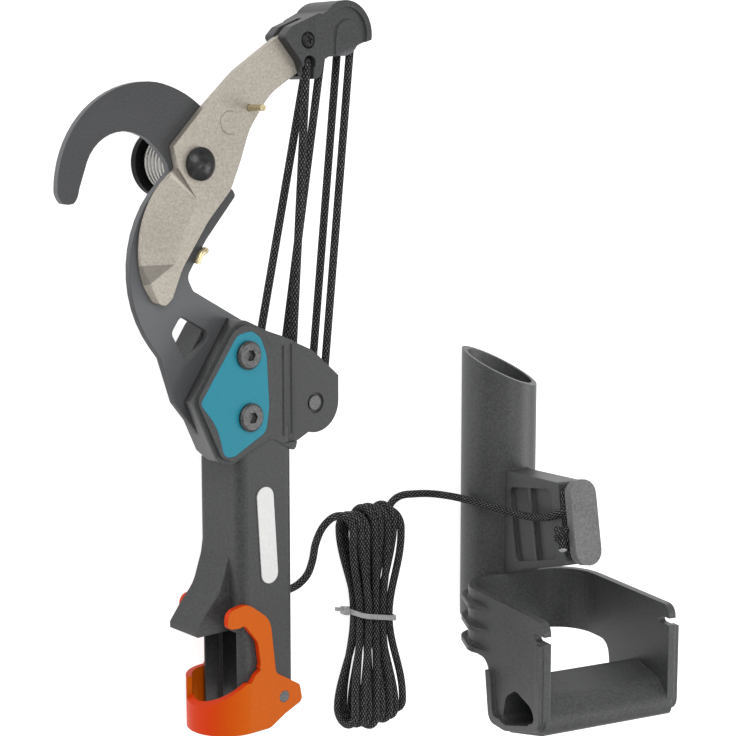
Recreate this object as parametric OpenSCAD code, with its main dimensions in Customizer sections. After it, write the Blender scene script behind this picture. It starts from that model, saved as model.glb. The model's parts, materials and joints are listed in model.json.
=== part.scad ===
// Rope-pulled bypass tree pruner head with its pull cord and pull handle, laid on a table.
// X runs to the right across the head, Y up its length, Z up from the table, in millimetres.
// The origin is on the axis of the pole socket, at the mouth of its clip.

/* [Steel] */
// Thickness of the hook plate
plate_t = 4; // [3:0.5:5]
// Thickness of the cutting blade and its lever arm
blade_t = 4; // [3:0.5:5]
// Width of the ground bevel along the cutting edge
bevel_w = 2; // [2:0.5:6]
// Radius of the hook's back
hook_r = 50.2; // [49:0.2:53]
// Radius of the hook's mouth
mouth_r = 22; // [21:0.5:25]
// Radius of the pivot bolt's shank
pivot_r = 5; // [4:0.5:6]
// Radius of the pivot bolt's domed head
pivot_head_r = 8; // [8:0.5:10]

/* [Return spring] */
// Wire diameter of the return spring
wire_d = 2.8; // [2:0.1:3]
// Turns in the spring's coil
spring_turns = 5; // [4:1:6]
// Distance between neighbouring turns
spring_pitch = 3.5; // [3.3:0.1:3.8]
// Radius of the black end disc behind the spring
disc_r = 17; // [15:0.5:18]

/* [Body] */
// Depth of the body from front to back
body_d = 36; // [34:1:40]
// Width of the grip
grip_w = 34; // [32:0.5:36]
// Radius of the pole socket
socket_r = 13.5; // [12:0.25:13.75]
// Depth of the pole socket above its flange
socket_depth = 54; // [40:1:60]
// Thickness of the teal cover
cover_t = 2; // [1.5:0.25:3]
// Radius of the cover screws' button heads
screw_head_r = 7; // [5.5:0.5:8]
// Radius of the cover screws' shanks
screw_r = 4; // [3:0.5:4.5]

/* [Tackle] */
// Diameter of the braided cord
cord_d = 4.2; // [3.8:0.1:4.4]
// Pitch radius of the two sheaves in the body
body_sheave_r = 10.5; // [9.5:0.25:11]
// Pitch radius of the two sheaves in the lever cap
cap_sheave_r = 8.8; // [8:0.2:9.2]
// Width of a sheave
sheave_w = 8; // [6.5:0.5:9]
// Radius of the sheaves' axles
axle_r = 3.75; // [2.5:0.25:4]
// Outer radius of the lever cap's hood
hood_r = 16.5; // [15.5:0.5:18]
// Wall at the front and back of the hood
hood_wall = 3; // [2:0.5:5]

/* [Socket clip] */
// Thickness of the clip's arms and ring
clip_t = 3; // [2:0.5:4]
// Height of the clip's ring along the pole
ring_h = 26; // [24:1:30]
// Radius of the clip's two pins
clip_pin_r = 3; // [2:0.25:4]

/* [Pull handle] */
// Outer radius of the handle's tube
tube_r = 21.5; // [20.5:0.5:23]
// Bore radius of the handle's tube
tube_bore_r = 18.5; // [17:0.25:19.5]
// Width of the D-grip
dgrip_w = 82; // [78:1:90]
// Reach of the D-grip from the tube's axis
dgrip_reach = 118; // [114:1:124]
// Wall of the D-grip's band
dgrip_wall = 4.3; // [3.5:0.1:5]
// Length of the cord cleat's block
cleat_l = 54; // [50:1:58]
// Width of the cord cleat's block
cleat_w = 15; // [14:0.5:18]
// Thickness of the cleat's end plate
cleat_plate_t = 6; // [4:0.5:7]

/* [Cord hank] */
// Loops in the hank
hank_loops = 8; // [6:1:9]
// Sideways step from loop to loop
hank_step = 4.9; // [4.9:0.05:5.1]
// Depth of the loops at the waist, from front runs to back runs
hank_depth = 10; // [9.5:0.5:12]
// Width of the folds at the hank's ends
hank_fold = 17; // [14:0.5:20]
// Straight length of the hank's runs
hank_run = 106; // [95:1:115]
// Width left at the waist, as a share of the width at the ends
hank_waist = 0.5; // [0.5:0.05:0.8]
// Width of the cable tie
tie_w = 2.6; // [2:0.1:4]

/* [Hidden] */
$fn = 64;

// Clearances: fixed seats, running shafts, and moving faces
seat = 0.05;
run_gap = 0.05;
gap = 0.3;

// Places on the head, as seen from the front
pivot = [-30, 272.5];
hook_c = [-57.2, 260.8];
mouth_c = [-71, 266];
rest_c = [-11, 222];
rest_r = 59;
hub_r = 21.5;
body_c = [35.5, 151];
cap_c = [57, 336];
screw_pos = [[-12.3, 180.5], [-11.3, 149.8]];
cap_screw_pos = [32, 332];
anchor_pos = [33, 321];
spring_hole = [0, 299];
spring_hook = [-26.5, 228];
clip_c = [7.5, 4.5];
flange_y = 41;
grip_bottom = -4;

// Levels through the head
plate_z = plate_t / 2;
blade_z0 = plate_z + gap;
blade_z1 = blade_z0 + blade_t;
face_z = body_d / 2;
cord_r = cord_d / 2;
cord_z = sheave_w / 2 + 1;
cavity_z = cord_z + sheave_w / 2 + gap + 0.1;
flange_h = cord_r + 0.1;
groove_r = cord_r + 0.5;
hood_z = cavity_z + hood_wall;
cheek_z1 = blade_z1 + 6;
coil_z0 = -plate_z - gap - wire_d / 2;
coil_r = pivot_r + 7.5;
coil_z1 = coil_z0 - spring_turns * spring_pitch;
disc_z1 = coil_z1 - wire_d / 2 - gap;
disc_t = 4;
table_z = disc_z1 - disc_t;
wire_r = wire_d / 2;

// The cord's tangent points: square to the line of the two sheave centres
tackle_dir = (cap_c - body_c) / norm(cap_c - body_c);
side = [tackle_dir[1], -tackle_dir[0]];
tilt = atan2(side[1], side[0]);

function at_z(p, z) = [p[0], p[1], z];
function unit(v) = v / norm(v);
function arc(c, r, a0, a1, n) = [for (i = [0 : n]) let (a = a0 + (a1 - a0) * i / n) c + r * [cos(a), sin(a)]];

// An outline's corner, as an arc of radius b[2] between the edges to a and c
function corner(a, b, c, n) =
  b[2] == 0 ? [[b[0], b[1]]] :
  let (
    here = [b[0], b[1]],
    u = unit([a[0], a[1]] - here),
    v = unit([c[0], c[1]] - here),
    half = acos(u * v) / 2,
    o = here + unit(u + v) * b[2] / sin(half),
    p0 = here + u * b[2] / tan(half) - o,
    p1 = here + v * b[2] / tan(half) - o,
    a0 = atan2(p0[1], p0[0]),
    turn = (atan2(p1[1], p1[0]) - a0 + 540) % 360 - 180
  )
  [for (k = [0 : n]) o + b[2] * [cos(a0 + turn * k / n), sin(a0 + turn * k / n)]];

// An outline from points [x, y, corner radius]
function rounded(p, n = 5) =
  let (m = len(p)) [for (i = [0 : m - 1]) each corner(p[(i + m - 1) % m], p[i], p[(i + 1) % m], n)];

module slab(outline, z0, z1) {
  translate([0, 0, z0]) linear_extrude(z1 - z0) polygon(outline);
}

// A rod from a to b
module rod(a, b, r) {
  d = b - a;
  translate(a)
    rotate([0, acos(d[2] / norm(d)), atan2(d[1], d[0])])
      cylinder(r = r, h = norm(d));
}

module upright(p, r, z0, z1) {
  translate([p[0], p[1], z0]) cylinder(r = r, h = z1 - z0);
}

// Swept tubes: frames carried along a path of points, then rings of sides round it
function tangent(p, i) = unit(p[min(i + 1, len(p) - 1)] - p[max(i - 1, 0)]);
function square_to(t, v) = unit(v - (v * t) * t);
function carried(p, i, v) = i == len(p) ? [] :
  let (w = square_to(tangent(p, i), v)) concat([w], carried(p, i + 1, w));
function ring(c, t, v, r, sides) =
  let (w = cross(t, v)) [for (k = [0 : sides - 1]) c + r * (cos(360 * k / sides) * v + sin(360 * k / sides) * w)];
module tube(p, r, sides) {
  last = len(p) - 1;
  t0 = tangent(p, 0);
  frames = carried(p, 0, square_to(t0, abs(t0[2]) < 0.9 ? [0, 0, 1] : [1, 0, 0]));
  points = [for (i = [0 : last]) each ring(p[i], tangent(p, i), frames[i], r, sides)];
  walls = [for (i = [0 : last - 1], k = [0 : sides - 1]) let (
      a = i * sides + k, b = i * sides + (k + 1) % sides
    ) each [[a, b, b + sides], [a, b + sides, a + sides]]];
  caps = [for (k = [1 : sides - 2]) each [
      [0, k + 1, k], [last * sides, last * sides + k, last * sides + k + 1]
    ]];
  polyhedron(points, [for (f = concat(walls, caps)) [f[2], f[1], f[0]]]);
}

// A smooth curve through chosen points, with steps stretches between neighbours
function spline(p, steps) = concat([for (i = [0 : len(p) - 2], k = [0 : steps - 1]) let (
    a = p[max(i - 1, 0)], b = p[i], c = p[i + 1], d = p[min(i + 2, len(p) - 1)], t = k / steps
  ) 0.5 * (2 * b + (c - a) * t + (2 * a - 5 * b + 4 * c - d) * t * t + (3 * b - a - 3 * c + d) * t * t * t)],
  [p[len(p) - 1]]);

// Steel parts

hook_outline = concat(
  arc(hook_c, hook_r, 180, 52, 24),
  arc(pivot, hub_r, 62, -20, 10),
  rounded([
    [-11.5, 260.3, 0], [-7.6, 260, 2.5], [-5.8, 256.6, 2], [-24.9, 233.9, 6], [-35, 218.5, 5], [-31.5, 211.5, 5],
    [-3, 195.4, 0]
  ]),
  [[1, 190], [1, 141], [-30, 141], [-44, 158]],
  arc(rest_c, rest_r, 225, 141, 12),
  arc(mouth_c, mouth_r, 8, 158, 16),
  rounded([
    [-95.6, 260, 0], [-96.8, 255.2, 3], [hook_c[0] - hook_r, 255.2, 3], [hook_c[0] - hook_r, hook_c[1] - 1, 0]
  ])
);
window_outline = rounded([[-39, 200, 3], [-45, 192, 3], [-36, 177, 3], [-21.5, 190, 3]]);

module hook_plate() {
  color("#555658")
    difference() {
      slab(hook_outline, -plate_z, plate_z);
      slab(window_outline, -plate_t, plate_t);
      upright(pivot, bush_r + seat, -plate_t, plate_t);
      for (p = screw_pos) upright(p, screw_r + seat, -plate_t, plate_t);
    }
}

// Blade: the arm and the toe's corners, then the round cutting edge, the heel and the back
edge_c = [-16.7, 231.1];
edge_r = 49.35;
edge_toe = 198.4;
edge_heel = 131.6;
blade_outline = concat(
  rounded([
    [10, 328.4, 0], [17, 333, 20], [37, 341.5, 4], [43.5, 323, 4], [31, 317, 20], [12.5, 305.8, 30],
    [0, 289, 30], [-6, 272.6, 14], [-11.7, 259.7, 8], [-25.6, 244.8, 40], [-40.5, 223.5, 30],
    [-47, 209, 4], [-52.5, 204.5, 4], [-58.5, 206.5, 3], [-61.5, 211.5, 0]
  ]),
  arc(edge_c, edge_r, edge_toe, edge_heel, 16),
  rounded([[-48.5, 269, 0], [-43.5, 272.5, 1], [-44.5, 281, 1], [-26.4, 299.7, 90], [-8, 316.5, 30], [3, 323.8, 0]])
);
edge_land = 0.8;
edge_flat = 0.5;

// What grinding takes off in front of the cutting edge
module edge_grind() {
  top = blade_t + 1;
  foot = edge_r - edge_flat;
  translate([edge_c[0], edge_c[1], blade_z0])
    rotate([0, 0, edge_heel - 4])
      rotate_extrude(angle = edge_toe - edge_heel + 18)
        polygon([
          [foot, edge_land], [edge_r + 12, edge_land], [edge_r + 12, top],
          [foot - bevel_w * (top - edge_land) / (blade_t - edge_land), top]
        ]);
}

// A frame on the blade's front face, turned to a heading and tilted about it
module on_face(p, heading, angle) {
  translate(at_z(p, blade_z1)) rotate([0, 0, heading]) rotate([angle, 0, 0]) children();
}

// The facet ground away between the blade's crease and its edge
crease = [-45, 225.9];
module facet() {
  intersection() {
    on_face(crease, 65.8, -7.8)
      linear_extrude(12) polygon([[-40, 0], [32.7, 0], [43.4, 18.5], [60.5, 48], [-40, 48]]);
    on_face(crease, 209.3, 14.6) translate([-60, -60, 0]) cube([120, 60, 12]);
  }
}

// The groove pressed in from the heel, which runs out towards the back
groove_end = [-31.6, 255.7];
module groove() {
  on_face(groove_end, 125.7, 0)
    rotate([0, 3.5, 0]) across([[0, 0], [12, 2.55], [12, 4], [-0.9, 4]], -2, 30);
}

module blade() {
  color("#b0a89c")
    difference() {
      slab(blade_outline, blade_z0, blade_z1);
      edge_grind();
      facet();
      groove();
      upright(pivot, bush_r + run_gap, blade_z0 - 1, blade_z1 + 1);
      upright(spring_hole, wire_r + gap, blade_z0 - 1, blade_z1 + 1);
      upright(cap_screw_pos, cap_screw_r + seat, blade_z0 - 1, blade_z1 + 1);
    }
}

// Pivot: the bolt runs in a bush that the blade turns on, and holds spring and disc from behind
bush_r = pivot_r + 2.5;
dome_h = 5;
module pivot_bolt() {
  color("#1c1c1e") {
    translate([pivot[0], pivot[1], blade_z1 + gap])
      intersection() {
        cylinder(r = pivot_head_r, h = dome_h);
        translate([0, 0, dome_h - dome_ball_r]) sphere(r = dome_ball_r);
      }
    upright(pivot, pivot_r, table_z + 0.5, blade_z1 + gap);
  }
}
dome_ball_r = (pow(pivot_head_r, 2) + pow(dome_h - 1.5, 2)) / (2 * (dome_h - 1.5));

module pivot_bush() {
  color("silver")
    difference() {
      upright(pivot, bush_r, disc_z1 + seat, blade_z1 + gap - seat);
      upright(pivot, pivot_r + seat, disc_z1 - 1, blade_z1 + 1);
    }
}

module spring_disc() {
  color("#1c1c1e")
    difference() {
      upright(pivot, disc_r, table_z, disc_z1);
      upright(pivot, pivot_r + seat, table_z - 1, disc_z1 + 1);
      upright(pivot, nut_r + 0.5, table_z - 1, table_z + nut_h + 0.5);
    }
}

nut_r = 8;
nut_h = 2.4;
module pivot_nut() {
  color("silver")
    difference() {
      translate([pivot[0], pivot[1], table_z + 0.4]) cylinder(r = nut_r, h = nut_h, $fn = 6);
      upright(pivot, pivot_r + seat, table_z - 1, disc_z1);
    }
}

// The spring: leg through the blade, coil behind the plate, leg hooked round the plate's edge
function tangent_angle(p, flip) =
  let (d = p - pivot) atan2(d[1], d[0]) + flip * acos(coil_r / norm(d));
coil_start = tangent_angle(spring_hole, -1);
coil_end = tangent_angle(spring_hook, 1);
coil_sweep = -(360 * spring_turns + (coil_start - coil_end + 720) % 360);
curl_rings = 8;
coil_steps = round(-coil_sweep / 360 * curl_rings);
coil_path = [for (i = [0 : coil_steps]) let (a = coil_start + coil_sweep * i / coil_steps)
  at_z(pivot + coil_r * [cos(a), sin(a)], coil_z0 - spring_pitch * spring_turns * i / coil_steps)];
leg_bend = 3;
leg_z = coil_z0;
spring_path = concat(
  [at_z(spring_hole, blade_z1 + 8), at_z(spring_hole, leg_z + leg_bend)],
  [at_z(spring_hole + unit(coil_foot(coil_start) - spring_hole) * leg_bend, leg_z)],
  coil_path,
  [at_z(spring_hook + unit(coil_foot(coil_end) - spring_hook) * leg_bend, coil_z1)],
  [at_z(spring_hook, coil_z1 + leg_bend), at_z(spring_hook, plate_z + 3)]
);
function coil_foot(a) = pivot + coil_r * [cos(a), sin(a)];
module return_spring() {
  color("#a9a59a") tube(spring_path, wire_r, 6);
}

// Body

grip_z = face_z - 0.5;
body_outline = rounded([
  [-14, 198, 6], [1, 191, 10], [20, 184.3, 0], [21, 141, 6], [grip_w / 2 + 0.6, 129, 2], [3.5, 137.5, 6],
  [-22, 127, 5], [-30, 130, 5], [-44.5, 161, 6], [-22, 194.5, 8]
]);
ear_r = body_sheave_r + flange_h + gap + 2.2;
ear_outline = concat(
  [[18, 185], [27, 181.2], [34, 178], [body_c[0] + ear_r, 163.8]],
  arc(body_c, ear_r, 0, -108, 12),
  [[grip_w / 2, 130]]
);
ear_z = cavity_z + 3;
cover_outline = rounded([
  [-10, 192.2, 6], [-18.5, 190.8, 6], [-40.8, 159.4, 2.5], [-31, 147, 30], [-27, 131.5, 4], [-21, 131.5, 3],
  [-1.5, 141.5, 6], [0.4, 154, 8], [-1, 180, 14], [-4.5, 188.5, 6]
]);
rim_outline = rounded([
  [-14, 195.8, 6], [-21, 192.5, 7], [-42.6, 161, 6], [-28.6, 131.6, 5], [-22, 128.8, 5], [3, 138.6, 6],
  [4.8, 150, 6], [4.2, 168, 20], [1.8, 183, 12], [-4.5, 192.5, 6]
]);
rim_h = 1.5;
inlay = 0.5;
fall = 19.3;
fall_x = 9.6;
run_top = [14, 186, -cord_z];
run_foot = [grip_w / 2 - 4, 58, -face_z + 4.4];

module grip_section(y0, y1) {
  h = grip_z;
  w = grip_w / 2;
  translate([0, y1, 0])
    rotate([90, 0, 0])
      linear_extrude(y1 - y0)
        polygon(rounded([[-w, -h, 5], [w, -h, 5], [w, h, 5], [-w, h, 5]]));
}

module flare() {
  x = grip_w / 2;
  slab(
    rounded([
      [-x + 1, 86, 0], [-x - 0.4, 77, 10], [-x - 5.5, 62, 20], [-x - 14, 52.5, 20], [-x - 20, 44.5, 1],
      [-x - 20, flange_y, 1], [-x + 4, flange_y, 0], [-x + 4, 86, 0]
    ]),
    -face_z + 3, 8
  );
}

// Everything past a side that starts on the front face at p and draws in towards the back
module past(p, heading, draft, from, to, depth) {
  translate(at_z(p, face_z))
    rotate([0, 0, heading])
      rotate([-draft, 0, 0])
        translate([from, 0, -depth]) cube([to - from, 60, depth + 20]);
}

// A frame on the sloping face right of the rim
module on_fall() {
  translate([fall_x, 134, face_z]) rotate([0, fall, 0]) children();
}

module body_shell() {
  difference() {
    slab(body_outline, -face_z, face_z);
    past([-30.5, 129.75], 115.1, 18, -12, 52, 60);
    past([-45, 161.3], 56.1, 25, -6, 60, 17.6);
    on_fall() cube([40, 90, 20]);
  }
  on_fall()
    for (x = [0.7, 8.2]) translate([x, 4, -1]) cube([1.4, 45, 1.8]);
}

// The grip, with its upper left corner let into the body
module grip() {
  difference() {
    grip_section(grip_bottom, 143);
    translate([-grip_w / 2 - 5, 126, -face_z - 5]) cube([grip_w / 2 - 4, 40, face_z + 13]);
  }
}

module housing() {
  color("#4b4c4e")
    difference() {
      union() {
        body_shell();
        slab(ear_outline, -ear_z, ear_z);
        slab(rim_outline, face_z - 1, face_z + rim_h);
        grip();
        flare();
      }
      slab(cover_outline, face_z - inlay, face_z + cover_t + 1);
      // Slot for the hook plate's tang
      slab([[-60, 200], [-60, 150], [-40, 140.8], [1.2, 140.8], [1.2, 200]], -plate_z - seat, plate_z + seat);
      for (p = screw_pos) {
        upright(p, screw_r + seat, -face_z - 1, face_z);
        upright(p, nut_pocket_r, -face_z - 1, -face_z + cover_nut_h);
      }
      // Well for the two sheaves, open to the strands above
      upright(body_c, body_sheave_r + flange_h + gap, -cavity_z, cavity_z);
      slab([[22.6, 151], [48.4, 151], [51, 176], [51, 200], [23.5, 200]], -cavity_z, cavity_z);
      upright(body_c, axle_r + seat, -face_z, face_z);
      upright(body_c, axle_r + 1.5, ear_z - 1.2, ear_z + 1);
      // Channel of the pull cord, and its way out at the side
      rod(run_top, run_foot - [0, 4, 0], cord_r + gap);
      rod(run_top - [0.5, 4, 0], run_top + 0.2 * (pull_top - run_top), cord_r + 1.4);
      translate([run_foot[0] - 2.6, 42, -face_z - 1]) cube([12, 18, 7.8]);
      // Pole socket, open on the left below the flange
      translate([0, grip_bottom - 1, 0])
        rotate([-90, 0, 0]) cylinder(r = socket_r, h = flange_y + socket_depth - grip_bottom + 1);
      translate([-40, grip_bottom - 1, -socket_r])
        cube([40 - socket_r + 6, flange_y - grip_bottom + 1, 2 * socket_r]);
      for (s = [-1, 1])
        upright(clip_c, clip_pin_r + seat, s > 0 ? pin_in - seat : -face_z - 1, s > 0 ? face_z + 1 : seat - pin_in);
    }
}

module housing_cover() {
  color("#3a92a5")
    difference() {
      slab(cover_outline, face_z - inlay, face_z - inlay + cover_t);
      for (p = screw_pos) upright(p, screw_r + seat, face_z - 2, face_z + cover_t + 1);
    }
}

hex_r = 2.9;
head_h = 2.4;
nut_pocket_r = screw_r * 1.9;
cover_nut_h = screw_r * 1.6;
cover_top = face_z - inlay + cover_t;
module cover_screws() {
  color("#2e2e30")
    for (p = screw_pos)
      difference() {
        union() {
          translate([p[0], p[1], cover_top])
            rotate_extrude()
              polygon([[0, 0], [screw_head_r, 0], [screw_head_r, 1.4], [screw_head_r - 1, head_h], [0, head_h]]);
          upright(p, screw_r, -face_z + 0.5, cover_top);
        }
        translate([p[0], p[1], cover_top + head_h - 2]) cylinder(r = hex_r, h = 5, $fn = 6);
      }
}

module cover_nuts() {
  color("silver")
    for (p = screw_pos)
      difference() {
        translate([p[0], p[1], -face_z]) cylinder(r = nut_pocket_r - seat, h = cover_nut_h - seat, $fn = 6);
        upright(p, screw_r + seat, -face_z - 1, face_z);
      }
}

badge_l = 49.5;
badge_w = 10.2;
badge_pos = [-0.2, 88.8];
module grip_badge() {
  color("#f0efec")
    translate([badge_pos[0], badge_pos[1], grip_z])
      rotate([0, 0, 3.5])
        slab(rounded([
          [-badge_w / 2, -badge_l / 2, badge_w / 2 - 0.1], [badge_w / 2, -badge_l / 2, badge_w / 2 - 0.1],
          [badge_w / 2, badge_l / 2, badge_w / 2 - 0.1], [-badge_w / 2, badge_l / 2, badge_w / 2 - 0.1]
        ]), 0, 0.6);
}

// Lever cap with its sheaves

hood_outline = concat(arc(cap_c, hood_r, -9, 140, 20), [[36, 342.5], [36, 321]]);
hood_recess = concat(arc(cap_c, hood_r - 3.3, -20, 128, 18), [[45.5, 343], [43.5, 316]]);
hood_step = concat(arc(cap_c + [1.5, -1.5], hood_r - 8.2, -20, 160, 14), [[50.3, 333], [49.5, 316]]);
cheek_outline = rounded([
  [17, 333.5, 2], [22, 338.5, 3], [42, 346.5, 3], [44, 330, 0], [40, 314, 4], [31, 312.5, 5], [27.5, 322, 5]
]);
cap_screw_r = 2;
module lever_cap() {
  color("#4b4c4e")
    difference() {
      union() {
        slab(hood_outline, -hood_z, hood_z);
        slab(cheek_outline, -4, cheek_z1);
      }
      difference() {
        slab(hood_recess, hood_z - 1.2, hood_z + 1);
        slab(hood_step, hood_z - 2, hood_z - 0.4);
      }
      // Slot of the lever's arm
      slab(
        [[0, 300], [46, 322], [38, 343.2], [0, 340]],
        blade_z0 - seat, blade_z1 + seat
      );
      upright(cap_c, cap_sheave_r + flange_h + gap, -cavity_z, cavity_z);
      slab([[45.6, 336], [68.4, 336], [66, 300], [36, 300]], -cavity_z, cavity_z);
      upright(cap_c, axle_r + seat, -hood_z - 1, hood_z - 2);
      upright(cap_screw_pos, cap_screw_r + seat, -3, cheek_z1 + 1);
      upright(cap_screw_pos, 4.2, cheek_z1 - 1.5, cheek_z1 + 1);
      // Pocket of the cord's knotted end, and the cord's way down
      upright(anchor_pos, cord_r + 1.6, blade_z1 + 0.6, cheek_z1 + 1);
      rod(at_z(anchor_pos, anchor_z), strand_foot_anchor, cord_r + gap);
      slab(
        [[24, 311], anchor_pos + [-cord_r - 0.6, 0.5], anchor_pos + [cord_r + 0.6, 0.5], [34.9, 303], [24, 303]],
        anchor_z, cheek_z1 + 1
      );
    }
}

module cap_screw() {
  color("#1c1c1e")
    difference() {
      union() {
        translate([cap_screw_pos[0], cap_screw_pos[1], cheek_z1 - 1.5])
          rotate_extrude() polygon([[0, 0], [3.6, 0], [3.6, 1.4], [2.6, 2.4], [0, 2.6]]);
        upright(cap_screw_pos, cap_screw_r, -2.5, cheek_z1 - 1.5);
      }
      translate([cap_screw_pos[0], cap_screw_pos[1], cheek_z1 + 1])
        for (a = [20, 110]) rotate([0, 0, a]) translate([-2, -0.4, -0.8]) cube([4, 0.8, 2]);
    }
}

module cap_axle() {
  color("silver") upright(cap_c, axle_r, -hood_z, hood_z - 2 - seat);
}

module body_axle() {
  color("silver") upright(body_c, axle_r, -ear_z, ear_z - 0.3);
}

module sheave(c, r, z) {
  color("#8a8b8d")
    translate([c[0], c[1], z])
      difference() {
        cylinder(r = r + flange_h, h = sheave_w, center = true);
        cylinder(r = axle_r + run_gap, h = sheave_w + 1, center = true);
        rotate_extrude() {
          translate([r, 0]) circle(r = groove_r);
          translate([r, -groove_r]) square([flange_h + 1, 2 * groove_r]);
        }
      }
}

module cap_sheave_front() { sheave(cap_c, cap_sheave_r, cord_z); }
module cap_sheave_back() { sheave(cap_c, cap_sheave_r, -cord_z); }
module body_sheave_front() { sheave(body_c, body_sheave_r, cord_z); }
module body_sheave_back() { sheave(body_c, body_sheave_r, -cord_z); }

// Cord in the tackle: half turns on the sheaves, and five strands between them

module wrap(c, r, z, start) {
  color("#1f1f20")
    translate([c[0], c[1], z])
      rotate([0, 0, start])
        rotate_extrude(angle = 180) translate([r, 0]) circle(r = cord_r);
}

module cap_wrap_front() { wrap(cap_c, cap_sheave_r, cord_z, tilt); }
module cap_wrap_back() { wrap(cap_c, cap_sheave_r, -cord_z, tilt); }
module body_wrap_front() { wrap(body_c, body_sheave_r, cord_z, tilt + 180); }
module body_wrap_back() { wrap(body_c, body_sheave_r, -cord_z, tilt + 180); }

anchor_z = blade_z1 + 0.6 + cord_r + 0.6;
strand_foot_anchor = at_z(body_c - body_sheave_r * side, cord_z);

module strand(a, b) {
  d = unit(b - a);
  color("#1f1f20") rod(a + gap * d, b - gap * d, cord_r);
}

module strand_anchor() { strand(strand_foot_anchor, at_z(anchor_pos, anchor_z) - [0, cord_r + 0.6, 0]); }
module strand_front_right() {
  strand(at_z(body_c + body_sheave_r * side, cord_z), at_z(cap_c + cap_sheave_r * side, cord_z));
}
module strand_front_left() {
  strand(at_z(body_c - body_sheave_r * side, -cord_z), at_z(cap_c - cap_sheave_r * side, cord_z));
}
module strand_back_right() {
  strand(at_z(body_c + body_sheave_r * side, -cord_z), at_z(cap_c + cap_sheave_r * side, -cord_z));
}
pull_top = at_z(cap_c - cap_sheave_r * side, -cord_z);
module strand_pull() { strand(run_top + 0.7 * unit(pull_top - run_top), pull_top); }

module anchor_knot() {
  color("#1f1f20") translate(at_z(anchor_pos, anchor_z)) sphere(r = cord_r + 0.4);
}

// Clip that closes the pole socket

clip_z = grip_z + gap;
ring_x = -13;
ring_y0 = -10;
arm_outline = rounded([
  [-27.5, 46, 3], [-27, 55, 5], [-15, 57, 9], [-1, 46.5, 12], [2.3, 18, 4], [17.5, 8.8, 2.5], [19.2, 0, 3],
  [8, -4.6, 8], [-1.5, ring_y0, 6], [ring_x, ring_y0, 0], [ring_x, ring_y0 + ring_h, 0], [-7.2, 24, 3],
  [-8.8, 36, 8], [-17, 46.5, 3], [-20, 45.5, 2]
]);
// What the strap is cut down to in front, from the arm round to the left
scoop_outline = [[-60, 60], [-60, 3], [-35, 3], [-28, 8], [-7.4, 21.5], [-14, 40], [-30, 42]];

module clip_ring() {
  translate([ring_x, ring_y0, 0])
    rotate([-90, 0, 0])
      rotate([0, 0, 90])
        rotate_extrude(angle = 180) translate([clip_z, 0]) square([clip_t, ring_h]);
}

module socket_clip() {
  color("#d66214")
    difference() {
      union() {
        slab(arm_outline, clip_z, clip_z + clip_t);
        slab(arm_outline, -clip_z - clip_t, -clip_z);
        clip_ring();
      }
      slab(scoop_outline, -8, clip_z + clip_t + 1);
      upright(clip_c, clip_pin_r + run_gap, -clip_z - clip_t - 1, clip_z + clip_t + 1);
    }
}

pin_in = socket_r + gap;
module clip_pins() {
  color("silver")
    for (s = [-1, 1])
      upright(clip_c, clip_pin_r, s > 0 ? pin_in : -clip_z - clip_t, s > 0 ? clip_z + clip_t : -pin_in);
}

// Pull cord: inside the grip, along the table to the hank, and on to the handle

module cord_run() { color("#1f1f20") rod(run_top, run_foot + 0.6 * unit(run_top - run_foot), cord_r); }

hank_c = [97, 21.3];
tie_t = 1.3;
loop_rings = 24;
loop_run = 0.3;
loop_turn = 0.2;
hank_from = 0;
hank_to = hank_loops - 5 / loop_rings;

// The hank: loops on edge side by side, drawn in at the waist, where each second one lies higher
function drawn_in(y) = abs(y) > hank_run / 2 ? 0 : (1 + cos(360 * y / hank_run)) / 2;
function narrow(y) = 1 - (1 - hank_waist) * drawn_in(y);
hank_pitch = cord_d + 0.75;
function parting(y) = sqrt(max(0, pow(hank_pitch, 2) - pow(hank_step * narrow(y), 2))) / 2;
hank_z = table_z + tie_t + gap + cord_r + parting(0) + hank_depth / 2;
function depth(y) = hank_fold + (hank_depth - hank_fold) * drawn_in(y);
hank_rise = table_z + gap + cord_r + parting(hank_run) + hank_fold / 2 - hank_z;
// One loop: down the front, round, up the back and round, as its length and its side
function loop_point(f) =
  f < loop_run ? [hank_run * (0.5 - f / loop_run), 1] :
  f < 0.5 ? let (a = 180 * (f - loop_run) / loop_turn) [-hank_run / 2 - hank_fold / 2 * sin(a), cos(a)] :
  f < 0.5 + loop_run ? [hank_run * ((f - 0.5) / loop_run - 0.5), -1] :
  let (a = 180 * (f - 0.5 - loop_run) / loop_turn) [hank_run / 2 + hank_fold / 2 * sin(a), -cos(a)];
function hank_point(s) =
  let (
    u = 2 * s / hank_loops - 1,
    p = loop_point(s - floor(s)),
    odd = floor(s + loop_turn / 2) % 2 * 2 - 1,
    arch = 1 - (p[0] > 0 ? 0.09 : 0.07) * u * u + 0.02 * sin(137 * s)
  )
  [
    hank_c[0] + u * hank_loops / 2 * hank_step * narrow(p[0]),
    hank_c[1] + p[0] * arch,
    hank_z + hank_rise * (1 - drawn_in(p[0])) + p[1] * (depth(p[0]) / 2 + odd * parting(p[0]))
  ];
hank_path = [for (i = [0 : (hank_to - hank_from) * loop_rings]) hank_point(hank_from + i / loop_rings)];
module cord_hank() { color("#1f1f20") tube(hank_path, cord_r, 6); }

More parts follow.
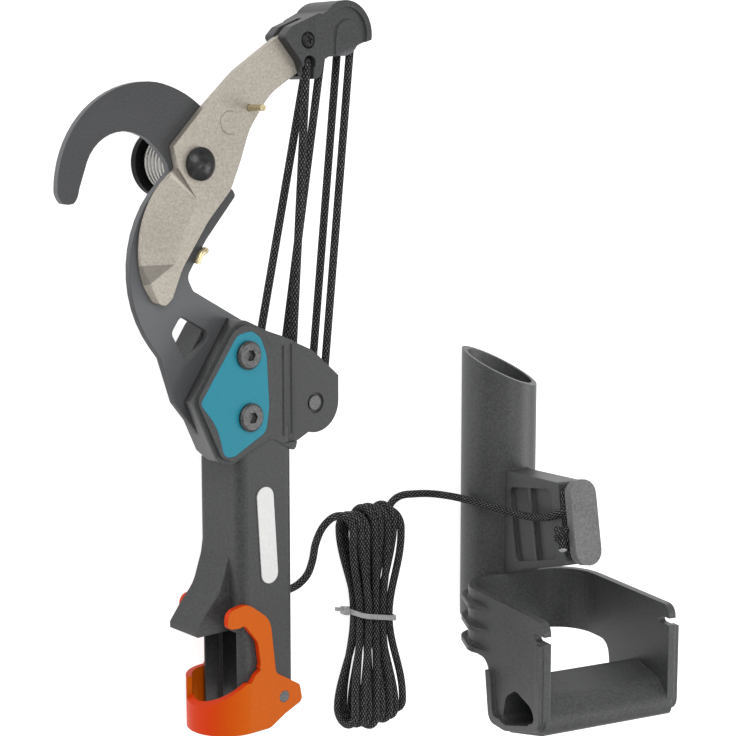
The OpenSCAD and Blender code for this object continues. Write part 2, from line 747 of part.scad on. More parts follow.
lead_points = [
  [12.9, 52, -14], [14.6, 46.5, -14.6], [19, 43.5, -15.8], [27, 43, -18.2], [36, 43, -21.4],
  [45, 43.5, -23.8], [53, 45, -24.6], [59.5, 49.5, -24.6], [62.8, 57, -24.2], [63.6, 66, -22.6],
  [65, 75, -18.8], [68.4, 81.2, -14.2], [72.9, 82.2, -10.4], [76.3, 78.4, -8.2]
];
hank_start = hank_point(hank_from);
hank_end = hank_point(hank_to);
lead_path = spline(concat([run_foot], lead_points, [hank_start + [0, cord_d, 0], hank_start + [0, 0.5, 0]]), 4);
module cord_lead() { color("#1f1f20") tube(lead_path, cord_r, 8); }

// The least gap between the hank's turns, measured on its points, half a loop or more apart
gap_rings = 48;
gap_points = [for (i = [0 : (hank_to - hank_from) * gap_rings]) hank_point(hank_from + i / gap_rings)];
hank_gap = min([for (i = [0 : len(gap_points) - 1 - gap_rings / 2], j = [i + gap_rings / 2 : len(gap_points) - 1])
  norm(gap_points[i] - gap_points[j])]) - cord_d;
echo("least gap between the hank's turns, mm", hank_gap);
coil_gap = spring_pitch - wire_d;
echo("least gap between the spring's turns, mm", coil_gap);

tie_y = hank_c[1] + 1;
tie_half = hank_loops / 2 * hank_step * hank_waist + cord_r + 0.7;
tie_top = hank_z + hank_depth / 2 + parting(0) + cord_r + gap;
module tie_loop(x, z0, z1, r) {
  translate([hank_c[0], tie_y + tie_w / 2, 0])
    rotate([90, 0, 0])
      linear_extrude(tie_w) polygon(rounded([[-x, z0, r], [x, z0, r], [x, z1, r], [-x, z1, r]]));
}
module cable_tie() {
  color("#aaaaaa") {
    difference() {
      tie_loop(tie_half + tie_t, table_z, tie_top + tie_t, 3.5);
      tie_cut();
    }
    translate([hank_c[0] - tie_half - tie_t - 3, tie_y - 2.4, hank_z]) cube([3.4, 4.8, 4.2]);
  }
}
module tie_cut() {
  translate([hank_c[0], tie_y + tie_w, 0])
    rotate([90, 0, 0])
      linear_extrude(tie_w * 3)
        polygon(rounded([
          [-tie_half, table_z + tie_t, 2.2], [tie_half, table_z + tie_t, 2.2], [tie_half, tie_top, 2.2], [-tie_half, tie_top, 2.2]
        ]));
}

tail_points = [
  [116.2, 72, -24.4], [118.2, 77.4, -24.5], [122.2, 81.4, -24.5], [128.5, 83.2, -24.5], [137, 82.7, -24.5],
  [147, 81.5, -24.5], [155, 80.3, -20.5],
  [159.5, 79.5, -10], [161.6, 78.6, 4], [162, 77.8, 20], [161.4, 77.6, 36], [159.2, 78.8, 50],
  [156.9, 81.3, 61], [155.4, 83.6, 67.5], [154.7, 85.4, 71.6]
];
tail_path = spline(concat([hank_end + [0, 0.5, 0]], tail_points), 4);
module cord_tail() { color("#1f1f20") tube(tail_path, cord_r, 8); }
function path_length(p) = [for (i = [1 : len(p) - 1]) norm(p[i] - p[i - 1])] * [for (i = [1 : len(p) - 1]) 1];
echo("cord lengths, mm: lead, hank, tail", path_length(lead_path), path_length(hank_path), path_length(tail_path));

// Pull handle: lies on the back of its tube, with the D-grip up and leaning a little

tube_y0 = 8;
tube_y1 = 154;
tube_slant = 26;
tube_turn = 52;
handle_lean = 15;
handle_at = [186, 0, table_z + tube_r];
cleat_rise = 12;
cleat_root = [0, 67, tube_r - 6];
neck_l = 6.5;
neck_w = 6.4;
cleat_h = 46;

module on_handle() { translate(handle_at) rotate([0, -handle_lean, 0]) children(); }
module on_cleat() { translate(cleat_root) rotate([-cleat_rise, 0, 0]) children(); }

// An outline in the handle's Y and Z, drawn out along X
module across(outline, x0, x1) {
  translate([x0, 0, 0]) rotate([90, 0, 90]) linear_extrude(x1 - x0) polygon(outline);
}

cleat_len = cleat_l + 12;
block_outline = rounded([
  [-31, 0, 0], [33, 0, 0], [28, 14, 10], [20.5, cleat_len, 2], [-24, cleat_len, 2], [-27.5, 20, 12]
]);
pocket_outline = rounded([[-23, 14, 4], [19, 14, 4], [17, cleat_len - 8, 4], [-21, cleat_len - 8, 4]]);
module cleat_block() {
  w = cleat_w / 2;
  n = neck_w / 2;
  difference() {
    union() {
      across(block_outline, -w, w);
      across([[-17, cleat_len - 4], [14, cleat_len - 4], [14, cleat_len + neck_l], [-17, cleat_len + neck_l]], -n, n);
    }
    for (s = [-1, 1])
      difference() {
        across(pocket_outline, s > 0 ? w - 2.5 : -w - 1, s > 0 ? w + 1 : -w + 2.5);
        across([[-30, 34.4], [30, 34.4], [30, 36.4], [-30, 36.4]], -w - 2, w + 2);
      }
  }
}

plate_r = cleat_w / 2 + 0.5;
module cleat_plate() {
  y = cleat_h / 2;
  c = plate_r - 0.1;
  color("#4b4c4e")
    on_handle() on_cleat()
      translate([0, -1.5, cleat_len + neck_l])
        slab(rounded([[-plate_r, -y, c], [plate_r, -y, c], [plate_r, y, c], [-plate_r, y, c]]), 0, cleat_plate_t);
}

// The D-grip's ring from above, open in front, and from the side
ring_back = tube_r - 2;
module ring_plan(wall, front) {
  x = dgrip_w / 2 - wall;
  polygon(rounded([
    [-x, ring_back + wall, 26 - wall], [x, ring_back + wall, 26 - wall], [x, front, 0], [-x, front, 0]
  ], 9));
}
side_outline = rounded([
  [38, 12, 0], [38, dgrip_reach, 6], [31, dgrip_reach, 0], [31, dgrip_reach - 9.5, 1.8],
  [27, dgrip_reach - 9.5, 1.8], [27, dgrip_reach, 0], [-20, dgrip_reach, 8], [-30, dgrip_reach - 34, 10],
  [-30, dgrip_reach - 52, 6], [3, dgrip_reach - 57, 8], [3, 12, 0]
]);
// The rim raised on the outside of each side wall, open at its top
rim_out = 2.5;
side_rim = rounded([
  [26.5, dgrip_reach - 0.4, 0], [-19.6, dgrip_reach - 0.4, 8], [-29.6, dgrip_reach - 34.2, 10],
  [-29.6, dgrip_reach - 51.6, 6], [-2, dgrip_reach - 55.8, 0], [-1.5, dgrip_reach - 51, 0],
  [-25, dgrip_reach - 47.6, 3], [-25, dgrip_reach - 35, 6], [-16.4, dgrip_reach - 5, 5], [26.5, dgrip_reach - 5, 0]
]);
bar_outline = rounded([
  [1, dgrip_reach - 31, 6], [-4, dgrip_reach - 9, 12], [-13, dgrip_reach + 1, 7], [-22, dgrip_reach, 5],
  [-31, dgrip_reach - 34, 7], [-31, dgrip_reach - 50, 4], [-9, dgrip_reach - 43, 12]
]);
bar_hollow = rounded([
  [-5.5, dgrip_reach - 28, 6], [-10, dgrip_reach - 12, 7], [-18, dgrip_reach - 7, 4], [-26, dgrip_reach - 33, 4],
  [-26, dgrip_reach - 41, 3], [-12, dgrip_reach - 38, 8]
]);
fin_outline = rounded([
  [-dgrip_w / 2 + 1, 64, 0], [-dgrip_w / 2 - 5, 48, 12], [-dgrip_w / 2 + 3, 24, 14], [-16, 13, 0],
  [16, 13, 0], [dgrip_w / 2 - 3, 24, 14], [dgrip_w / 2 + 5, 48, 12], [dgrip_w / 2 - 1, 64, 0]
]);
fin_t = 2.5;
fin_ys = [4.8, 16.8, 28.8];

// A plan in the handle's X and Z, drawn out along Y
module along(y0, y1) {
  translate([0, y1, 0]) rotate([90, 0, 0]) linear_extrude(y1 - y0) children();
}

module dgrip() {
  difference() {
    union() {
      intersection() {
        across(side_outline, -dgrip_w, dgrip_w);
        along(-60, 60)
          difference() {
            ring_plan(0, dgrip_reach + 10);
            ring_plan(dgrip_wall, dgrip_reach + 20);
          }
      }
      across(bar_outline, -dgrip_w / 2 + 1.5, dgrip_w / 2 - 1.5);
      across(side_rim, dgrip_w / 2 - 1, dgrip_w / 2 + rim_out);
      across(side_rim, -dgrip_w / 2 - rim_out, -dgrip_w / 2 + 1);
      for (y = fin_ys)
        along(y, y + fin_t)
          difference() {
            polygon(fin_outline);
            ring_plan(dgrip_wall / 2, dgrip_reach + 20);
          }
    }
    across(bar_hollow, -dgrip_w, dgrip_w);
  }
}

module pull_handle() {
  color("#4b4c4e")
    on_handle()
      difference() {
        union() {
          translate([0, tube_y0, 0]) rotate([-90, 0, 0]) cylinder(r = tube_r, h = 180 - tube_y0);
          on_cleat() cleat_block();
          dgrip();
        }
        translate([0, -70, 0]) rotate([-90, 0, 0]) cylinder(r = tube_bore_r, h = 300);
        translate([0, tube_y1, 0])
          rotate([0, tube_turn, 0]) rotate([tube_slant, 0, 0]) translate([-60, 0, -60]) cube([120, 100, 120]);
      }
}

// The cord's end is tied round the cleat's neck, with its knot and cut end at the side
knot_r = 4.2;
knot_profile = concat(
  [[0, -knot_r]], arc([0, 0], knot_r, -75, acos(cord_r / knot_r), 9), [[cord_r, knot_r + 6], [0, knot_r + 6]]
);
module neck_turn(out) {
  x = neck_w / 2 + out;
  slab(rounded([[-x, -17 - out, out], [x, -17 - out, out], [x, 14 + out, out], [-x, 14 + out, out]]),
    out > 1 ? 0 : -1, out > 1 ? cord_d : cord_d + 1);
}
module cord_knot() {
  color("#1f1f20")
    on_handle() on_cleat() {
      translate([0, 0, cleat_len + gap])
        difference() {
          neck_turn(cord_d + gap);
          neck_turn(gap);
        }
      translate([-neck_w / 2 - cord_d - 2 * gap - knot_r, -5, cleat_len + neck_l / 2])
        rotate([75, 0, -12]) rotate_extrude() polygon(knot_profile);
    }
}

housing();
housing_cover();
cover_screws();
cover_nuts();
grip_badge();
hook_plate();
blade();
pivot_bolt();
pivot_bush();
spring_disc();
pivot_nut();
return_spring();
lever_cap();
cap_screw();
cap_axle();
cap_sheave_front();
cap_sheave_back();
body_axle();
body_sheave_front();
body_sheave_back();
strand_anchor();
strand_front_right();
strand_front_left();
strand_back_right();
strand_pull();
cap_wrap_front();
cap_wrap_back();
body_wrap_front();
body_wrap_back();
anchor_knot();
socket_clip();
clip_pins();
cord_run();
cord_lead();
cord_hank();
cable_tie();
cord_tail();
cord_knot();
pull_handle();
cleat_plate();
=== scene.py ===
# %% [markdown]
# # A tree pruner head with its pull cord and pull handle
# The pruner cuts when its cord is pulled: a tackle of sheaves swings the blade past a hook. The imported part
# gives the steel, the housings and the joints in their real places. This lesson dresses it: light and finishes
# first, then the cords, then the pieces that want a finer mesh, and last the finishes on the solids that stay.

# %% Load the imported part
import json
import math

import bmesh
import bpy
from mathutils import Matrix, Vector


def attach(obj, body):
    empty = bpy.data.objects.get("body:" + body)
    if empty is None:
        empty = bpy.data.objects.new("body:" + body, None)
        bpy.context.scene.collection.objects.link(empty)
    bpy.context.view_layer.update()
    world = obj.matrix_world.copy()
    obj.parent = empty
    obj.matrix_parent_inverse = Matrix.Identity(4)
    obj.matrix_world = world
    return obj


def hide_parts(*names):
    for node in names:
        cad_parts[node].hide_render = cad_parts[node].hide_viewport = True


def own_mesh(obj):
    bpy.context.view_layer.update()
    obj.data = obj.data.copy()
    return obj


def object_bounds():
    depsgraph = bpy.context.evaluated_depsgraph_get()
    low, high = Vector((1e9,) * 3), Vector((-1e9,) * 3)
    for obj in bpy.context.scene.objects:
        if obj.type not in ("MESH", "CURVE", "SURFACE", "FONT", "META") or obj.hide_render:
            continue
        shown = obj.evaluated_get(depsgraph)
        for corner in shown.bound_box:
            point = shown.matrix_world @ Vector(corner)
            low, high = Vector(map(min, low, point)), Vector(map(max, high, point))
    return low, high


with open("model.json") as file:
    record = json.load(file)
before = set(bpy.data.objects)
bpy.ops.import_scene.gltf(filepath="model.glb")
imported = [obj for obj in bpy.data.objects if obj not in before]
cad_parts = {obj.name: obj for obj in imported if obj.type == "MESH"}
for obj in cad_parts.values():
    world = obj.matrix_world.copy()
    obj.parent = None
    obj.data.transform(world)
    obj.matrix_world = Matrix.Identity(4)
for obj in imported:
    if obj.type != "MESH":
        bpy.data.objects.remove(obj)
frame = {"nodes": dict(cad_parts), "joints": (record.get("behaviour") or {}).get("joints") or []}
cad_low, cad_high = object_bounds()
MM = 0.001
table_z = cad_low[2]
print("table at", round(table_z / MM, 2), "mm")

# %% [markdown]
# ## Camera, table and light
# The camera looks down on the table from the left, with a long lens. Its three axes are given as vectors,
# which is easier to fit to a picture than three angles. The table is a large white sheet that glows a little,
# as a lit product table does, so that shadows stay faint. The light is soft: a bright sky with one broad lamp
# for shape, a weaker one to open the shadows and a small one above that draws out highlights.

# %% Camera
eye = Vector((-503.4, 293.2, 672.9)) * MM
to_right = Vector((0.7547, 0, 0.6561)).normalized()
to_top = Vector((0.0947, 0.9895, -0.1090)).normalized()
to_eye = to_right.cross(to_top)
camera_data = bpy.data.cameras.new("camera")
camera_data.sensor_width = 36
camera_data.lens = 83.15
camera = bpy.data.objects.new("camera", camera_data)
camera.matrix_world = Matrix.Translation(eye) @ Matrix((to_right, to_top, to_eye)).transposed().to_4x4()
bpy.context.scene.collection.objects.link(camera)
bpy.context.scene.camera = camera

# %% Table
TABLE_HALF = 4
TABLE_WHITE, TABLE_GLOW = 0.45, 0.88
sheet = bmesh.new()
bmesh.ops.create_grid(sheet, x_segments=1, y_segments=1, size=TABLE_HALF)
bmesh.ops.translate(sheet, verts=sheet.verts, vec=(0, 0, table_z))
table_mesh = bpy.data.meshes.new("table")
sheet.to_mesh(table_mesh)
sheet.free()
table = bpy.data.objects.new("table", table_mesh)
bpy.context.scene.collection.objects.link(table)
table_paint = bpy.data.materials.new("table_paint")
table_paint.use_nodes = True
paint = table_paint.node_tree.nodes["Principled BSDF"]
paint.inputs["Base Color"].default_value = (TABLE_WHITE, TABLE_WHITE, TABLE_WHITE, 1)
paint.inputs["Roughness"].default_value = 0.9
paint.inputs["Emission Color"].default_value = (1, 1, 1, 1)
paint.inputs["Emission Strength"].default_value = TABLE_GLOW
table_mesh.materials.append(table_paint)

# %% Light
SKY = 0.68
world = bpy.data.worlds.new("sky")
bpy.context.scene.world = world
world.use_nodes = True
background = world.node_tree.nodes["Background"]
background.inputs["Color"].default_value = (1, 1, 1, 1)
background.inputs["Strength"].default_value = SKY


def lamp(name, place, aim, size, power):
    """A square lamp, size in metres and power in watts."""
    data = bpy.data.lights.new(name, "AREA")
    data.size = size
    data.energy = power
    ob = bpy.data.objects.new(name, data)
    ob.location = place
    ob.rotation_euler = (Vector(aim) - Vector(place)).to_track_quat("-Z", "Y").to_euler()
    bpy.context.scene.collection.objects.link(ob)


middle = Vector((0.08, 0.16, 0))
lamp("key", (-0.6, 1.0, 1.3), middle, size=0.9, power=11)
lamp("fill", (1.1, -0.2, 0.9), middle, size=0.8, power=8)
lamp("top", (0.1, 0.0, 1.5), middle, size=0.35, power=2.5)
bpy.context.scene.view_settings.view_transform = "Standard"

# %% [markdown]
# ## A short way to write shader maths
# A finish is a graph of nodes, and graphs are tedious to write one link at a time. `Wire` wraps an output
# socket, so that sums and products of wires add their own Math nodes. `Finish` owns a material, and its
# method `make` adds any other node from its type, its settings and its inputs.

# %% Wires and finishes
EDGE_GAIN = 5


class Wire:
    def __init__(self, finish, socket):
        self.finish = finish
        self.socket = socket

    def math(self, operation, *others):
        return self.finish.make("ShaderNodeMath", {"operation": operation}, dict(enumerate((self, *others))))

    def __add__(self, other):
        return self.math("ADD", other)

    __radd__ = __add__

    def __mul__(self, other):
        return self.math("MULTIPLY", other)

    __rmul__ = __mul__

    def __sub__(self, other):
        return self.math("SUBTRACT", other)

    def __rsub__(self, other):
        return self.finish.make("ShaderNodeMath", {"operation": "SUBTRACT"}, {0: other, 1: self})

    def __truediv__(self, other):
        return self.math("DIVIDE", other)

    def __pow__(self, other):
        return self.math("POWER", other)

    def __gt__(self, other):
        return self.math("GREATER_THAN", other)

    def __lt__(self, other):
        return self.math("LESS_THAN", other)

    def held(self):
        """The value, kept between 0 and 1."""
        return self.math("MINIMUM", 1).math("MAXIMUM", 0)


class Finish:
    def __init__(self, name, **constants):
        self.material = bpy.data.materials.new(name)
        self.material.use_nodes = True
        self.tree = self.material.node_tree
        self.shader = self.tree.nodes["Principled BSDF"]
        self.set(**constants)

    def link(self, socket, value):
        if isinstance(value, Wire):
            self.tree.links.new(value.socket, socket)
        else:
            socket.default_value = value

    def make(self, kind, settings=None, inputs=None, output=0):
        node = self.tree.nodes.new(kind)
        for name, value in (settings or {}).items():
            setattr(node, name, value)
        for name, value in (inputs or {}).items():
            self.link(node.inputs[name], value)
        return Wire(self, node.outputs[output])

    def set(self, **sockets):
        for name, value in sockets.items():
            label = name.replace("_", " ").title().replace("Ior", "IOR")
            self.link(self.shader.inputs[label], value)

    def place(self):
        return self.make("ShaderNodeTexCoord", output="Object")

    def axes(self, where):
        split = self.make("ShaderNodeSeparateXYZ", None, {0: where})
        return [Wire(self, socket) for socket in split.socket.node.outputs]

    def noise(self, scale, detail):
        inputs = {"Vector": self.place(), "Scale": scale, "Detail": detail}
        return self.make("ShaderNodeTexNoise", None, inputs)

    def blend(self, factor, first, second):
        inputs = {0: factor}
        for socket, value in ((6, first), (7, second)):
            inputs[socket] = value if isinstance(value, Wire) else (*value, 1)
        return self.make("ShaderNodeMix", {"data_type": "RGBA"}, inputs, 2)

    def bump(self, height, depth, strength, normal=None):
        inputs = {"Height": height, "Distance": depth, "Strength": strength}
        if normal:
            inputs["Normal"] = normal
        return self.make("ShaderNodeBump", None, inputs)

    def soft_edge(self, radius):
        return self.make("ShaderNodeBevel", {"samples": 4}, {"Radius": radius})

    def edges(self, soft):
        """Near 1 on an edge, where the softened normal leaves the face's own."""
        flat = self.make("ShaderNodeNewGeometry", output="Normal")
        facing = self.make("ShaderNodeVectorMath", {"operation": "DOT_PRODUCT"}, {0: soft, 1: flat}, "Value")
        return ((1 - facing) * EDGE_GAIN).held()


# %% [markdown]
# ## Finishes
# The housings are glass-filled plastic with a spark-eroded grain about a millimetre wide, which shows as dark
# and pale specks and breaks up highlights. Where the softened normal leaves the face's own there is an edge,
# and edges are painted paler: a painted highlight, partly edge wear. On the clip, the faces turned away from up
# and right are painted a deeper red as painted shade. The hook is dark coated steel, and the blade is
# bead-blasted under a warm grey coat, with a round mark pressed beside its arm. Noise scales are counts per
# metre; grain depths and edge radii are metres.

# %% Plastics
SPECKS, CLOUDS, SHEEN = 800, 38, 30


def shade(colour, amount):
    return tuple(amount * c for c in colour)


def moulded(name, colour, spread, roughness, grain=0.00006, edge=0.0006, edge_highlight_and_wear=0.5, gloss=0.3, side=None):
    """Grained plastic: the colour varies by spread, and faces turned from up and right may take a painted shade
    colour.
    """
    look = Finish(name, specular_ior_level=gloss)
    speck = look.noise(SPECKS, 2)
    broad = look.noise(CLOUDS, 3)
    soft = look.soft_edge(edge)
    mottle = ((speck - 0.5) * 2 + (broad - 0.5) * 0.7 + 0.5).held()
    ground = look.blend(mottle, shade(colour, 1 - spread), shade(colour, 1 + spread))
    # Painted shade: faces turned away from up and right take the side colour, a deeper red.
    if side:
        rightward, _, upward = look.axes(look.make("ShaderNodeTexCoord", output="Normal"))
        ground = look.blend((1 - upward - rightward * 0.5).held(), ground, side)
    # Edges are painted paler: a painted highlight, partly edge wear.
    look.set(
        base_color=look.blend(look.edges(soft) * edge_highlight_and_wear, ground, shade(colour, 1.9)),
        roughness=roughness + 0.2 * (speck - 0.5) + 0.12 * (broad - 0.5),
        normal=look.bump(speck, grain, 0.6, soft),
    )
    return look.material


grey_plastic = moulded("grey_plastic", (0.037, 0.038, 0.039), 0.38, 0.5, 0.00008, 0.0008, 0.8, 0.34)
handle_plastic = moulded("handle_plastic", (0.050, 0.051, 0.052), 0.34, 0.46, 0.00007, 0.0009, 0.9, 0.38)
cleat_plastic = moulded("cleat_plastic", (0.135, 0.136, 0.138), 0.30, 0.6)
teal_plastic = moulded("teal_plastic", (0.012, 0.195, 0.265), 0.06, 0.5, 0.00002, edge_highlight_and_wear=0.25, gloss=0.22)
# The orange's side colour is painted shade, a deeper red on faces turned from the light.
orange_plastic = moulded("orange_plastic", (0.510, 0.092, 0.001), 0.06, 0.4, 0.00002, edge_highlight_and_wear=0.15,
                         gloss=0.09, side=(0.560, 0.036, 0.002))
white_plastic = moulded("white_plastic", (0.62, 0.62, 0.61), 0.06, 0.5, 0.00002, 0.0003, 0.1)
sheave_plastic = moulded("sheave_plastic", (0.10, 0.10, 0.105), 0.3, 0.5)
disc_black = moulded("disc_black", (0.006, 0.006, 0.006), 0.4, 0.5, gloss=0.12)
tie_plastic = moulded("tie_plastic", (0.34, 0.34, 0.34), 0.15, 0.3, 0.00002, 0.0003, 0.3)

# %% Metals


def metal(name, colour, spread, roughness, metallic, grain_scale, grain, edge=0.0004, edge_highlight_and_wear=0.5):
    """Coated or bare metal, with the wires that a finish of its own builds on."""
    look = Finish(name, metallic=metallic, specular_ior_level=0.3)
    speck = look.noise(grain_scale, 3)
    broad = look.noise(SHEEN, 4)
    soft = look.soft_edge(edge)
    mottle = ((speck - 0.5) * 1.6 + (broad - 0.5) * 0.8 + 0.5).held()
    ground = look.blend(mottle, shade(colour, 1 - spread), shade(colour, 1 + spread))
    # Edges are painted paler: a painted highlight, partly edge wear.
    tone = look.blend(look.edges(soft) * edge_highlight_and_wear, ground, shade(colour, 1.7))
    look.set(
        base_color=tone,
        roughness=roughness + 0.2 * (speck - 0.5) + 0.12 * (broad - 0.5),
        normal=look.bump(speck, grain, 0.5, soft),
    )
    return look, tone, speck, soft


def plain_metal(*settings, **more):
    return metal(*settings, **more)[0].material


black_steel = plain_metal("black_steel", (0.028, 0.028, 0.029), 0.45, 0.42, 0.6, 800, 0.00004)
pivot_steel = plain_metal("pivot_steel", (0.034, 0.034, 0.035), 0.6, 0.3, 0.6, 260, 0.0005)
screw_steel = plain_metal("screw_steel", (0.085, 0.085, 0.086), 0.6, 0.4, 0.7, 900, 0.00006)
bright_steel = plain_metal("bright_steel", (0.50, 0.50, 0.49), 0.15, 0.32, 0.9, 1200, 0.00002)
spring_steel = plain_metal("spring_steel", (0.40, 0.39, 0.37), 0.3, 0.36, 0.9, 900, 0.00003, 0.0001)
spring_end = plain_metal("spring_end", (0.56, 0.47, 0.29), 0.3, 0.28, 0.75, 900, 0.00003, 0.0001)

# %% [markdown]
# The hook plate is punched from coated sheet. The hook itself is dark, and its cut rim is painted paler:
# partly a thinner coat, partly a painted highlight. Towards the housing the face is painted paler as painted
# light and the rim is painted dark as painted shade. The rim is where the surface's own normal lies flat, which
# is the same in every pose.

# %% Hook plate
LIGHT_AND_SHADE_FROM, LIGHT_AND_SHADE_OVER = 240 * MM, 34 * MM
hook_tone = (0.054, 0.055, 0.057)
hook_look, tone, speck, _ = metal("hook_coat", hook_tone, 0.25, 0.55, 0.2, 1000, 0.00006)
_, _, upward = hook_look.axes(hook_look.make("ShaderNodeTexCoord", output="Normal"))
# The cut rim is painted paler on the hook: partly a thinner coat, partly a painted highlight.
cut_rim = ((0.75 - upward.math("ABSOLUTE")) * 4).held()
_, y, _ = hook_look.axes(hook_look.place())
# Towards the housing the face is painted paler as painted light, with pale specks.
painted_light_and_shade = ((LIGHT_AND_SHADE_FROM - y) / LIGHT_AND_SHADE_OVER).held()
tone = hook_look.blend(painted_light_and_shade, tone, hook_look.blend(speck, shade(hook_tone, 1.7), shade(hook_tone, 2.5)))
# Towards the housing the rim is painted dark as painted shade.
rim_tone = hook_look.blend(painted_light_and_shade, shade(hook_tone, 2.6), shade(hook_tone, 0.7))
hook_look.set(base_color=hook_look.blend(cut_rim * 0.75, tone, rim_tone))
hook_coat = hook_look.material

# %% [markdown]
# The blade's finish also knows where its forms lie. A round mark is pressed beside the arm, open on one side,
# and its line is painted dark as painted shade. A groove runs in from the heel: its steep wall is painted dark
# as painted shade and its ramp pale as painted highlight. Below the crease one facet turns away from the light
# and is painted darker as painted shade. Each is a region in the blade's own coordinates, so it moves with the
# blade.

# %% Blade
MARK, MARK_RADIUS = (-11.7 * MM, 292 * MM), 5.6 * MM
GROOVE_END, GROOVE_WAY = (-31.6 * MM, 255.7 * MM), math.radians(125.7)
CREASE, FACET_SLOPE = (-45.2 * MM, 225.5 * MM), 0.62
FACE_ABOVE, MARK_LINE, BLAST_DEPTH = 3 * MM, 0.35 * MM, 0.00008
WALL, WALL_HALF, RAMP, RAMP_HALF = 0.07, 0.1, 0.22, 0.09
blade_tone = (0.355, 0.325, 0.280)
blade_look, tone, speck, soft = metal("blade_coat", blade_tone, 0.26, 0.5, 0.45, 900, BLAST_DEPTH, 0.0003, 0.3)
x, y, z = blade_look.axes(blade_look.place())
front_face = z > FACE_ABOVE

# The pressed line is painted dark as painted shade, and its dip is bumped.
away = (((x - MARK[0]) ** 2 + (y - MARK[1]) ** 2) ** 0.5 - MARK_RADIUS).math("ABSOLUTE")
open_side = ((MARK[0] + 0.6 * MARK_RADIUS - x) / (0.5 * MARK_RADIUS)).held()
pressed = (1 - away / MARK_LINE).held() * open_side * front_face

# The groove's steep wall is painted dark as painted shade, and its ramp pale as painted highlight.
way_x, way_y = math.cos(GROOVE_WAY), math.sin(GROOVE_WAY)
along_groove = (x - GROOVE_END[0]) * way_x + (y - GROOVE_END[1]) * way_y
beside_groove = (y - GROOVE_END[1]) * way_x - (x - GROOVE_END[0]) * way_y
share = beside_groove / along_groove.math("MAXIMUM", 0.1 * MM)
in_groove = (along_groove > 0) * front_face
groove_wall_shade = (1 - (share - WALL).math("ABSOLUTE") / WALL_HALF).held() * in_groove
groove_ramp_highlight = (1 - (share - RAMP).math("ABSOLUTE") / RAMP_HALF).held() * in_groove

# The facet below the crease is painted darker as painted shade.
facet_shade = (y < CREASE[1]) * (y > CREASE[1] + FACET_SLOPE * (x - CREASE[0])) * (x < CREASE[0]) * front_face
tone = blade_look.blend(pressed * 0.55, tone, shade(blade_tone, 0.35))
tone = blade_look.blend(groove_wall_shade * 0.75, tone, shade(blade_tone, 0.25))
tone = blade_look.blend(groove_ramp_highlight * 0.65, tone, shade(blade_tone, 1.6))
tone = blade_look.blend(facet_shade * 0.62, tone, shade(blade_tone, 0.38))
blade_look.set(base_color=tone, normal=blade_look.bump(speck - 6 * pressed, BLAST_DEPTH, 0.5, soft))
blade_coat = blade_look.material

# %% [markdown]
# ## Braided cord
# The cord is a round braid: half the yarns wind one way and half the other, over and under. On a tube whose UV
# map counts yarns round it and pitches along it, the two families are the sum and the difference of u and v.
# Where the whole parts of the two add up to an odd number one family lies on top, otherwise the other. Only
# the crown of each yarn catches the light, so a pale painted highlight is kept to the highest part of the
# weave.

# %% Braid
CORD_D = 4.2 * MM
YARNS = 8
PITCH = 2.9 * MM
YARN_DEPTH, FLECKS = 0.0005, 620
CROWN_FROM, CROWN_GAIN = 0.42, 2.2


def crest(family):
    return (family.math("FRACT") * math.pi).math("SINE")


def braid(name, dark, light):
    look = Finish(name, roughness=0.75, specular_ior_level=0.12)
    u, v, _ = look.axes(look.make("ShaderNodeTexCoord", output="UV"))
    one_way, other_way = u + v, u - v
    over = (one_way.math("FLOOR") + other_way.math("FLOOR")).math("FLOORED_MODULO", 2)
    one_crest, other_crest = crest(one_way), crest(other_way)
    height = over * one_crest * other_crest ** 0.5 + (1 - over) * other_crest * one_crest ** 0.5
    # The pale tone on the yarn crowns is a painted highlight, broken up by flecks.
    crown_highlight = ((height - CROWN_FROM) * CROWN_GAIN).held()
    fleck = look.noise(FLECKS, 2)
    look.set(
        base_color=look.blend((crown_highlight * (fleck * 1.8 - 0.15)).held(), dark, light),
        normal=look.bump(height, YARN_DEPTH, 1),
    )
    return look.material


cord_braid = braid("cord_braid", (0.0035, 0.0035, 0.004), (0.155, 0.155, 0.158))

# %% [markdown]
# A tube is swept along points: at each one a ring is set square to the way ahead, and the frame is carried
# on from ring to ring so that it never twists suddenly. The UV map is laid down with the faces.

# %% Sweeping tubes
SIDES, FEWER_SIDES = 14, 12


def smooth_route(points, steps):
    """A curve through the points, with steps stretches between neighbours."""
    last = len(points) - 1
    out = []
    for i in range(last):
        a, b, c, d = (points[min(max(j, 0), last)] for j in (i - 1, i, i + 1, i + 2))
        for k in range(steps):
            t = k / steps
            out.append(0.5 * (2 * b + (c - a) * t + (2 * a - 5 * b + 4 * c - d) * t**2
                              + (3 * b - a - 3 * c + d) * t**3))
    return out + [points[last]]


def piece(name, mesh_data, material, body="head", stands_for=()):
    """A finished mesh as an object that rides on a body."""
    mesh = bpy.data.meshes.new(name)
    mesh_data.to_mesh(mesh)
    mesh_data.free()
    mesh.materials.append(material)
    ob = bpy.data.objects.new(name, mesh)
    bpy.context.scene.collection.objects.link(ob)
    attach(ob, body)
    if stands_for:
        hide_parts(*stands_for)
    return ob


